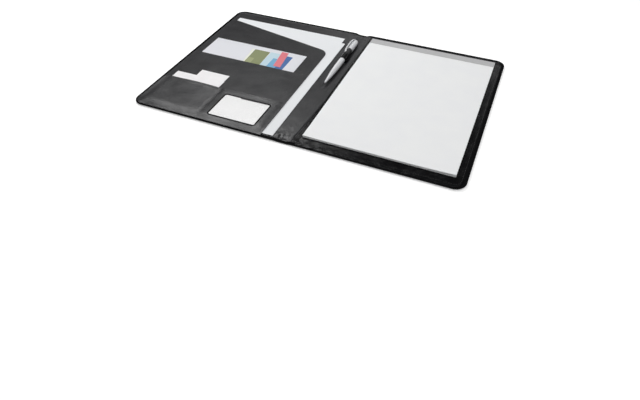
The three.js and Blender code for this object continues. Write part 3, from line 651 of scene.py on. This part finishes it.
def make_skins():
    paint_rim(hinge_sheet(piece("back_leather", *thick(*outer_skin(1)), outer_leather, "leatherette",
                                replaces=("back_outer_skin",)), 1))
    outer_stitches("back_outer_stitching", 1)

    upper, lower, faces = outer_skin(-1)
    beyond = np.abs(upper[faces][:, :, 0].mean(axis=1)) > SEAM
    main = piece("front_leather", *thick(upper, lower, faces[~beyond]), outer_leather, "leatherette",
                 replaces=("spine_outer_skin", "front_main_skin"))
    paint_rim(hinge_sheet(main, -1))
    paint_rim(piece("front_edge_leather", *thick(upper, lower, faces[beyond]), outer_leather, "leatherette",
                    "front_cover", ("front_edge_skin",)))
    outer_stitches("front_outer_stitching", -1)
    along = np.linspace(-TOP_EDGE + 3, TOP_EDGE - 3, 160)
    row = np.column_stack([np.full(160, -SEAM + HEM_STITCH), along, np.full(160, 0.27)])
    piece("front_seam_stitching", *stitch_row(row, -1), thread, "leatherette", "front_cover")


# ---- linings
def near_spine(x):
    """1 in the middle of the spine, and 0 on the covers"""
    return 1 - smooth(np.abs(x) / (FOLD + 6))


def lining_level(x, y):
    """Height of the lining's face: level across the spine, lower at the spine's ends and under the pen"""
    end = near_spine(x) * smooth((np.abs(y) - TOP_EDGE + 16) / 12)
    pen = bump(x - PEN_X, 4.2) * smooth((y - PEN_POINT + 12) / 12)
    loop = smooth((8.6 - np.abs(x - PEN_X)) / 2.4) * smooth((LOOP_HALF + 2.2 - np.abs(y - LOOP_MIDDLE)) / 2)
    return COVER_TOP - np.maximum(np.maximum((COVER_TOP - SPINE_TOP) * end, 0.95 * pen), 1.5 * loop)


LINING_EDGE = [
    (8.7, 0), (8.2, -0.01), (7.8, -0.07), (7.4, -0.19), (7, -0.26), (6.6, -0.19), (6.2, -0.07), (5.7, -0.02),
    (5.2, -0.07), (LINING_INSET, -0.2),
]


def spine_puckers(x, y):
    """Small gathers where the lining is drawn together at both ends of the spine"""
    ends = smooth((np.abs(y) - TOP_EDGE + 34) / 26) * smooth((19 - np.abs(x)) / 9)
    middle = 0.12 * smooth((14 - np.abs(x)) / 8) * smooth((LOOP_MIDDLE - 60 - y) / 20)
    folds = soft_noise(x * 1.5 + y * 0.5, y * 0.7 - x * 0.6, 5.5, 21) + 0.5 * soft_noise(x, y, 3.2, 22)
    return 0.32 * (ends + middle) * folds


def lining_face(place):
    """Height of the lining; past its seam on the pad side it drops onto the board"""
    x, y = place.T
    fall = 0.45 * smooth((x - panel_seam(y)) / 3.2) * smooth((TOP_EDGE - 8 - np.abs(y)) / 10)
    height = lining_level(x, y) - fall + spine_puckers(x, y) + 0.05 * soft_noise(x, y, 26, 5)
    return above_board(x, height, 0.15)


def above_board(x, height, margin):
    """The lining lies on the greyboard, so it sinks no further than that"""
    return np.where(np.abs(x) > BOARD_START - 1, np.maximum(height, BOARD_TOP + margin), height)


def lining_rim(place, height):
    """Height of the lining near its edge, where it is sewn to the skin"""
    return above_board(place[:, 0], lining_face(place) + height, 0.07)


PANEL_SEAM = 16.6  # the charcoal lining of the spine ends here, and the black one of the pad side begins


def panel_seam(y):
    """The seam leans towards the spine near the bottom edge"""
    return PANEL_SEAM - 3.8 * smooth((-y - 20) / (TOP_EDGE - 20)) ** 1.6


def make_lining(side, name, replaces):
    start = LINING_EDGE[0][0] + 0.4
    high = TOP_EDGE - start
    across = places((0, 0.6), (PANEL_SEAM + 1.8, 2.8), (FORE_EDGE - start, 1))
    across[np.argmin(np.abs(across - PANEL_SEAM))] = PANEL_SEAM
    along = places((-high, 1.2), (-high + 34, 2.8), (high - 34, 1.2), (high, 1))
    sheet, faces = half_sheet(side, across, along, FORE_CORNER - start, len(LINING_EDGE))

    def underside(place, _=None):
        return lining_face(place) - SHEET

    upper = ringed(sheet, start, LINING_EDGE, lining_face, lining_rim)
    lower = ringed(sheet, start, LINING_EDGE, underside, underside)
    if side > 0:
        for face in (upper, lower):
            face[:, 0] += (panel_seam(face[:, 1]) - PANEL_SEAM) * bump(face[:, 0] - PANEL_SEAM, 7)
        upper[:, 2] -= 0.12 * bump(upper[:, 0] - panel_seam(upper[:, 1]), 0.7)
    made = piece(name, *thick(upper, lower, faces), lining_vinyl, "lining", replaces=replaces)
    if side > 0:
        made.data.materials.append(pad_side_leather)
        for face in made.data.polygons:
            x, y, _ = np.array(face.center) / MM
            face.material_index = int(x > panel_seam(y))
    hinge_sheet(made, side)
    path = edge_path(side, LINING_STITCH_INSET)
    row = stitch_row(np.column_stack([path, inside_face(path)]), 1, 0.45, 0.2)
    hinge_sheet(piece(name + "_stitching", *row, thread, "lining"), side)


# ---- pockets of the left half
POCKET_LOW, POCKET_HIGH = node_box("document_pocket")
LEAFLET_OPENING, CARD_OPENING = node_box("leaflet_pocket")[1][1], node_box("card_pocket")[1][1]
CARD_SEAM = -(node_box("landscape_card")[1][0] + node_box("id_card")[0][0]) / 2 + 0.6
CARD_OPENING_FALL = 4.5  # the card pocket's opening is this much lower at the fore-edge
POCKET_CORNER = FORE_CORNER - PANEL_INSET
POCKET_SPINE, POCKET_FORE, POCKET_BOTTOM = -POCKET_HIGH[0], FORE_EDGE - PANEL_INSET, -TOP_EDGE + PANEL_LOW_INSET
DOCUMENT_TOP_SPINE = POCKET_LOW[1] + 244
DOCUMENT_CORNER = 19
STITCH_DIP = 0.12  # a stitch row pulls its panel down by this much
SIDE_SHARES = np.linspace(0, 1, 60)


def sewn(distance, reach):
    """0 at a sewn edge, and 1 from where the panel is free of it"""
    return smooth(distance / reach)


def ramp(distance, reach):
    """An even slope up from 0 at an edge, which eases into 1"""
    return 1 - np.log1p(np.exp(6 * (1 - np.maximum(distance / reach, 0)))) / 6


def slope_up(y):
    """0 at the bottom seam, and 1 where a pocket has its full depth"""
    return ramp(y - POCKET_BOTTOM, 11.5)


def document_level(x, y, from_bottom=None):
    """Height of the lowest panel, over the lining and the loose papers"""
    u = -x
    if from_bottom is None:
        from_bottom = sewn(y - POCKET_BOTTOM, 2.6)
    rise = from_bottom * ramp(POCKET_FORE - u, 10)
    free = bump(u - POCKET_SPINE, 9) * smooth((y - POCKET_BOTTOM) / 40)
    return COVER_TOP + PANEL_LAYER + 0.82 * rise + 0.2 * free + 0.05 * soft_noise(x, y, 31, 8)


def opening_lift(u, y, low, high, height, depth):
    """The card pocket's free edge stands off in the middle of each part"""
    share = np.clip((u - low) / (high - low), 0, 1)
    return height * np.sin(pi * share) ** 1.3 * bump(y - CARD_OPENING, depth)


def leaflet_level(x, y, from_bottom=None):
    """Height of the middle panel, over the leaflet"""
    u = -x
    if from_bottom is None:
        from_bottom = slope_up(y)
    rise = from_bottom * ramp(POCKET_FORE - u, 11) * sewn(u - POCKET_SPINE, 8)
    return document_level(x, y, from_bottom) + PANEL_LAYER + (0.36 + 0.05 * soft_noise(x, y, 23, 9)) * rise


def card_level(x, y):
    """Height of the upper panel, over two cards on the left and the window's card on the right"""
    u = -x
    rise = ramp(POCKET_FORE - u, 14) * sewn(u - POCKET_SPINE, 14) * (0.45 + 0.55 * sewn(np.abs(u - CARD_SEAM), 5))
    up = np.clip((y - POCKET_BOTTOM) / (CARD_OPENING - POCKET_BOTTOM), 0, 1)
    held_cards = 1.3 * smooth((u - CARD_SEAM) / 30) * up
    held_cards = held_cards + 0.8 * np.clip((u - CARD_SEAM) / (POCKET_FORE - CARD_SEAM), 0, 1)
    lift = opening_lift(u, y, POCKET_SPINE, CARD_SEAM, 1.0, 9) + opening_lift(u, y, CARD_SEAM, POCKET_FORE, 0.5, 14)
    creases = 0.22 * soft_noise(x * 0.6 + y, y - x * 0.3, 9, 12) * bump(y - CARD_OPENING + 4, 9)
    full = leaflet_level(x, y, 1) + PANEL_LAYER + (0.86 + lift + creases + held_cards) * rise
    edge = np.minimum(COVER_TOP + 1.15, full)
    return edge + (full - edge) * slope_up(y)


def distance_to(points, line):
    """Least distance of each point to a line of points"""
    best = np.full(len(points), 1e9)
    for a, b in zip(line[:-1], line[1:]):
        ab = b - a
        t = np.clip(((points - a) @ ab) / max(ab @ ab, 1e-12), 0, 1)
        best = np.minimum(best, np.linalg.norm(points - a - t[:, None] * ab, axis=1))
    return best


def panel(name, corners, level, free_sides, replaces, hole=None, extra_rows=()):
    """A pocket panel with a turned hem and a stitch row along its free sides, and a stitch row where it is sewn"""
    (ax, ay, _), (bx, _, _), (_, cy, _), (_, dy, _) = corners
    wide, tall = abs(bx - ax), min(cy, dy) - ay
    across, along = edge_shares(wide), edge_shares(tall)
    if hole:
        low, high = hole
        across = np.unique([*across, (ax - low[0]) / wide, (ax - high[0]) / wide])
        along = np.unique([*along, (low[1] - ay) / tall, (high[1] - ay) / tall])
    flat, faces = patch(corners, across, along)
    if hole:
        middle = flat[faces].mean(axis=1)
        faces = faces[~((middle > low[:2]) & (middle < high[:2])).all(axis=1)]
    sides = dict(zip(("bottom", "top", "spine", "fore"), side_curves(corners, SIDE_SHARES, SIDE_SHARES)))
    under = level(*flat.T)
    height = under
    rows = []
    for side in free_sides:
        distance = distance_to(flat, sides[side])
        height = height + 0.1 * smooth((8 - distance) / 1.2) - 0.16 * smooth((0.7 - distance) / 0.7)
        height = height - 0.14 * bump(distance - HEM_STITCH, 0.6)
        line = sides[side][3:-3]
        inward = normals(line)
        inward *= np.sign(((flat.mean(axis=0) - line) * inward).sum(axis=1, keepdims=True))
        row = line + inward * HEM_STITCH
        rows.append(np.column_stack([row, level(*row.T) - 0.02]))
    from_bottom, from_fore = distance_to(flat, sides["bottom"]), distance_to(flat, sides["fore"])
    inset = np.minimum(from_bottom + PANEL_LOW_INSET, from_fore + PANEL_INSET)
    height = height - 0.14 * bump(inset - LINING_STITCH_INSET, 0.6)
    shape = layer(flat, height, under - PANEL_SHEET, faces)
    piece(name, *shape, lining_vinyl, "lining", "front_cover", replaces)
    stitches = joined([stitch_row(row, 1, 0.4, 0.29) for row in (*rows, *extra_rows)])
    piece(name + "_stitching", *stitches, thread, "lining", "front_cover")


def left_corners(spine_top, fore_top, top_radius=0):
    """Corners of a panel, with the heights of its opening at the spine and at the fore-edge"""
    return [
        (-POCKET_SPINE, POCKET_BOTTOM, 0), (-POCKET_FORE, POCKET_BOTTOM, POCKET_CORNER),
        (-POCKET_FORE, fore_top, 0), (-POCKET_SPINE, spine_top, top_radius),
    ]


def seam_row(level, top, u=POCKET_SPINE + 1.6, drop=0.05):
    """A stitch row up a panel, beside its spine edge or at a distance from the middle"""
    x, y = np.full(80, -u), np.linspace(POCKET_BOTTOM + 4.6, top, 80)
    return np.column_stack([x, y, level(x, y) - drop])


def make_pockets():
    panel(
        "document_pocket_panel", left_corners(DOCUMENT_TOP_SPINE, POCKET_HIGH[1], DOCUMENT_CORNER),
        document_level, ("top", "spine"), ("document_pocket",),
    )
    panel(
        "leaflet_pocket_panel", left_corners(LEAFLET_OPENING, LEAFLET_OPENING), leaflet_level, ("top",),
        ("leaflet_pocket",), extra_rows=[seam_row(leaflet_level, LEAFLET_OPENING - 2)],
    )
    panel(
        "card_pocket_panel", left_corners(CARD_OPENING + 1, CARD_OPENING - CARD_OPENING_FALL), card_level, ("top",),
        ("card_pocket",), node_box("window_film"),
        [seam_row(card_level, CARD_OPENING - 1, CARD_SEAM, 0.12), seam_row(card_level, CARD_OPENING - 2)],
    )
    window_binding()


def window_binding():
    """A narrow bound edge round the card window, dark with edge paint; its black is also painted shade for the
    shadow along the window's edge
    """
    low, high = node_box("window_trim")
    middle, half, radius = (low + high)[:2] / 2, (high - low)[:2] / 2, 5
    section = [(0, -0.1), (0.1, 0.14), (0.5, 0.26), (1.1, 0.3), (1.7, 0.22), (2.0, 0.0), (2.05, -0.45), (1.0, -0.4)]
    centres, outward = [], []
    for quarter, sign in enumerate([(1, -1), (1, 1), (-1, 1), (-1, -1)]):
        for angle in np.linspace(0, pi / 2, 8) + (quarter - 1) * pi / 2:
            centres.append(middle + np.array(sign) * (half - radius))
            outward.append((cos(angle), sin(angle)))
    insets, rises = np.array(section).T
    flat = np.array(centres) + np.array(outward) * (radius - insets)[:, None, None]
    height = card_level(flat[..., 0], flat[..., 1]).mean(axis=0) + rises[:, None]
    points = np.concatenate([flat, height[..., None]], axis=-1).reshape(-1, 3)
    round_faces = tube_faces(len(section) + 1, len(centres))[:-2]
    # the binding's black is partly painted shade, standing in for the shadow at the window's edge
    piece("window_binding", points, np.array(round_faces) % len(points), edge_paint_and_painted_shade, "leatherette", "front_cover",
          ("window_trim",))


# ---- right half: pad pocket and pad
def pad_panel_level(x, y, distance):
    """Height of the panel over the pad's backing board; distance is from its sewn edges"""
    under_pad = smooth((x - PAD_LOW[0] + 6) / 5) * smooth((PAD_HIGH[0] + 6 - x) / 5)
    under_pad = under_pad * smooth((y - PAD_LOW[1] + 6) / 5)
    flat_part = COVER_TOP + PANEL_LAYER + 0.84 * under_pad * smooth(distance / 3)
    ripple = 0.1 * soft_noise(x, y, 9, 31) * (1 - under_pad)
    gathers = 0.5 * soft_noise(x * 0.8, y, 6.5, 33) * smooth((96 - x) / 40) * smooth((PAD_LOW[1] - y) / 4)
    return flat_part + ripple + gathers - 0.2 * smooth((0.6 - distance) / 0.6)


def inside_face(place):
    """Height of whatever lies on top inside the open folio, where the stitches round its edge go through"""
    x, y = place.T
    height = lining_rim(place, -0.25)
    on_panel = (-x > POCKET_SPINE + 0.5) & (-x < POCKET_FORE)
    for level, opening in (
        (document_level, POCKET_HIGH[1]), (leaflet_level, LEAFLET_OPENING),
        (card_level, CARD_OPENING - CARD_OPENING_FALL),
    ):
        height = np.where(on_panel & (y < opening), level(x, y) - STITCH_DIP, height)
    on_pad_panel = (x > PAD_POCKET_LOW[0]) & (y < PAD_POCKET_HIGH[1])
    return np.where(on_pad_panel, pad_panel_level(x, y, 2) - STITCH_DIP, height)


def make_pad_pocket():
    low, high = (PAD_POCKET_LOW[0], POCKET_BOTTOM), (POCKET_FORE, PAD_POCKET_HIGH[1])
    corners = rectangle(low, high, POCKET_CORNER)
    flat, faces = patch(corners, edge_shares(high[0] - low[0]), edge_shares(high[1] - low[1]))
    bottom, _, *others = side_curves(corners, SIDE_SHARES, SIDE_SHARES)
    to_edge = np.min([distance_to(flat, line) for line in (bottom, *others)], axis=0)
    height = pad_panel_level(*flat.T, to_edge) - STITCH_DIP * bump(to_edge - 2, 0.6)
    piece("pad_pocket_panel", *layer(flat, height, height - SHEET, faces), pad_side_leather, "leatherette",
          "back_cover", ("pad_pocket",))


def slab(x_low, x_high, y_low, y_high, z_low, z_high):
    flat = ((x_low, y_low), (x_high, y_low), (x_high, y_high), (x_low, y_high))
    sides = [[i, (i + 1) % 4, (i + 1) % 4 + 4, i + 4] for i in range(4)]
    return np.array([(x, y, z) for z in (z_low, z_high) for x, y in flat]), [[0, 3, 2, 1], [4, 5, 6, 7], *sides]


def make_pad():
    """Loose pages that are slightly out of line, the part of the block bound behind the slit, and the top sheet"""
    low, high = PAD_LOW, PAD_HIGH
    rng, pages = np.random.default_rng(4), 26
    clear = 0.05  # room to the pieces next to the block
    step, backing = PAD_POCKET_HIGH[2] + clear, node_box("pad_backing_board")[1][2] + clear
    bound_end = high[1] - clear
    levels = np.linspace(step, high[2], pages + 1)
    parts = []
    for k in range(pages):
        x, y = rng.uniform(-0.22, 0.22, 2)
        heights = levels[k] + 0.012, levels[k + 1] - 0.012
        parts.append(slab(low[0] + x, high[0] + x, low[1] + y + 0.2, bound_end, *heights))
    parts.append(slab(low[0], high[0], PAD_POCKET_HIGH[1] + 1, bound_end, backing, step))
    piece("pad_pages", *joined(parts), pad_paper, "pad_paper", "pad", ("pad_sheets",), sharp=20)

    low, high = node_box("pad_top_sheet")
    flat, faces = patch(rectangle(low, high), np.linspace(0, 1, 36), np.linspace(0, 1, 48))
    x, y = flat.T
    curl = 0.9 * bump(np.hypot(x - high[0], y - low[1]), 26) + 0.5 * bump(np.hypot(x - low[0], y - low[1]), 20)
    height = low[2] + 0.01 + curl + 0.08 * (soft_noise(x, y, 45, 41) + 1) * smooth((high[1] - y) / 30)
    piece("pad_writing_sheet", *layer(flat, height + 0.12, height, faces), pad_paper, "pad_paper", "top_sheet",
          ("pad_top_sheet",))


def loose_sheet(name, node, finish, slot, rise, seed):
    """A sheet of paper or card in a pocket, gently waved, with a rise at its free end"""
    low, high = node_box(node)
    flat, faces = patch(rectangle(low, high), np.linspace(0, 1, 34), np.linspace(0, 1, 44))
    x, y = flat.T
    wave = 0.5 * (soft_noise(x, y, 40, seed) + 1)
    height = low[2] + 0.02 + rise * smooth((y - high[1] + 60) / 60) * (0.3 + wave)
    shape = layer(flat, height + high[2] - low[2] - 0.04, height, faces)
    piece(name, *shape, finish, slot, node, (node,))


def make_papers():
    loose_sheet("rear_papers", "rear_document", office_paper, "document_paper", 0, 51)
    loose_sheet("front_papers", "front_document", office_paper, "document_paper", 0.1, 52)
    loose_sheet("folded_leaflet", "leaflet", leaflet_paper, "coated_paper", 0.2, 53)
    loose_sheet("landscape_card_blank", "landscape_card", plain_card, "card_stock", 0.2, 54)
    loose_sheet("portrait_card_blank", "portrait_card", plain_card, "card_stock", 0.2, 55)


# ---- pen
def make_pen():
    low, high = node_box("pen_barrel")
    barrel_end, radius = high[1], (high[0] - low[0]) / 2
    lip = 1.2  # radius at the nose, where the refill comes out
    swell = [
        (lip + (radius - lip) * sin(s * pi / 2) ** 0.92, PEN_POINT + s * (barrel_end - PEN_POINT) * 0.78)
        for s in np.linspace(0, 1, 28) ** 1.4
    ]
    round_end = [(radius - 1.1 * (1 - cos(t)), barrel_end - 1.1 * (1 - sin(t))) for t in np.linspace(0, pi / 2, 7)]
    barrel = turned([(0.9, PEN_POINT + 5), (0.9, PEN_POINT), *swell, *round_end])
    piece("pen_nose_barrel", *barrel, satin_metal, "pen_metal", "pen_lower", ("pen_barrel",), sharp=50)

    low, high = node_box("pen_sleeve")
    radius, start = (high[0] - low[0]) / 2, barrel_end + 0.15
    rings = [(radius - 1.2, start - 5.9), (radius - 1.2, start), (radius - 0.35, start), (radius, start + 0.5)]
    for at in start + 2 + 2.2 * np.arange(7):
        rings += [(radius, at), (radius - 0.25, at + 0.2), (radius - 0.25, at + 0.5), (radius, at + 0.7)]
    rings += [(radius, high[1] - 0.4), (radius - 0.3, high[1])]
    piece("pen_grip_sleeve", *turned(rings), soft_rubber, "pen_rubber", "pen", ("pen_sleeve",))

    start, radius = CAP_LOW[1], CAP_RADIUS
    dome = [(radius * cos(t), CAP_HIGH[1] - 6.5 * (1 - sin(t))) for t in np.linspace(0, pi / 2 - 0.02, 14)]
    band = [
        (2.1, start), (radius - 0.4, start), (radius, start + 0.4), (radius, start + 2.6),
        (radius - 0.3, start + 2.8), (radius - 0.3, start + 3.2), (radius, start + 3.4),
    ]
    piece("pen_domed_cap", *turned([*band, *dome]), satin_metal, "pen_metal", "pen", ("pen_cap",), sharp=50)
    make_clip()


def make_clip():
    """A sprung strip: it leaves the dome, bows out along the pen, narrows and comes back in at its end"""
    angle = radians(120)
    outward = np.array([cos(angle), 0, sin(angle)])
    sideways = np.array([-sin(angle), 0, cos(angle)])
    tip, end, far = node_box("pen_clip")[0][1], CAP_HIGH[1], CAP_RADIUS + 3.0
    line = [
        (1.6, end - 0.9), (3.2, end - 1.1), (5.0, end - 2.4), (6.4, end - 4.6), (far - 0.6, end - 8.5),
        (far, end - 14), (far + 0.1, end - 21), (far - 0.2, tip + 14), (far - 0.9, tip + 8), (far - 2.0, tip + 4),
        (far - 2.5, tip + 2.2), (far - 2.2, tip + 0.8), (far - 1.9, tip + 0.1),
    ]
    share = np.linspace(0, 1, 60)
    curve = on_line(line, share * lengths(line)[-1])
    for _ in range(3):
        curve[1:-1, 0] = (curve[:-2, 0] + 2 * curve[1:-1, 0] + curve[2:, 0]) / 4
    section = [(-1, -0.4), (-1, 0.15), (-0.8, 0.38), (-0.35, 0.5), (0.35, 0.5), (0.8, 0.38), (1, 0.15), (1, -0.4)]
    across, rise = np.array(section).T
    drawn = curve[:, None] + normals(curve)[:, None] * rise[:, None]
    width = (1.8 - 0.35 * smooth(share))[:, None] * across
    points = [PEN_X, 0, PEN_Z] + drawn[..., :1] * outward + width[..., None] * sideways + drawn[..., 1:] * [0, 1, 0]
    piece("pen_spring_clip", points.reshape(-1, 3), tube_faces(len(share), len(section)), satin_metal, "pen_metal",
          "pen", ("pen_clip",), sharp=50)


def make_pen_loop():
    """A strap bent round the pen, with both ends sewn flat to the spine"""
    low, high, foot = LOOP_LOW, LOOP_HIGH, LOOP_LOW[2]
    inner, outer = CAP_RADIUS + 0.15, high[2] - PEN_Z
    middle, half = (inner + outer) / 2, (outer - inner) / 2
    line = [(low[0], foot + 0.28), (PEN_X - outer * 0.75, foot + 0.3)]
    for t in np.linspace(radians(236), radians(-56), 44):
        line.append((PEN_X + middle * cos(t), PEN_Z + middle * sin(t)))
    line = np.array([*line, (PEN_X + outer * 0.75, foot + 0.3), (high[0], foot + 0.28)])
    widths = places((low[1], 0.5), (low[1] + 2, 2), (high[1] - 2, 0.5), (high[1], 1))
    edge = np.minimum(widths - low[1], high[1] - widths)

    def face(reach):
        place = line[:, None] + normals(line)[:, None] * reach[:, None]
        y = np.broadcast_to(widths, place.shape[:2])
        return np.stack([place[..., 0], y, place[..., 1]], axis=-1).reshape(-1, 3)

    upper = face(half * (1 - 0.5 * bump(edge, 0.35) - 0.3 * bump(edge - 1.5, 0.35)))
    shape = thick(upper, face(np.full(len(widths), -half)), grid_faces(len(line), len(widths)))
    piece("pen_loop_strap", *shape, pad_side_leather, "leatherette", "spine", ("pen_loop",))


camera_at_photo()
studio()
make_skins()
make_lining(1, "back_lining_sheet", ("back_lining",))
make_lining(-1, "front_lining_sheet", ("spine_lining", "front_lining"))
make_pockets()
make_pad_pocket()
make_pad()
make_papers()
make_pen()
make_pen_loop()
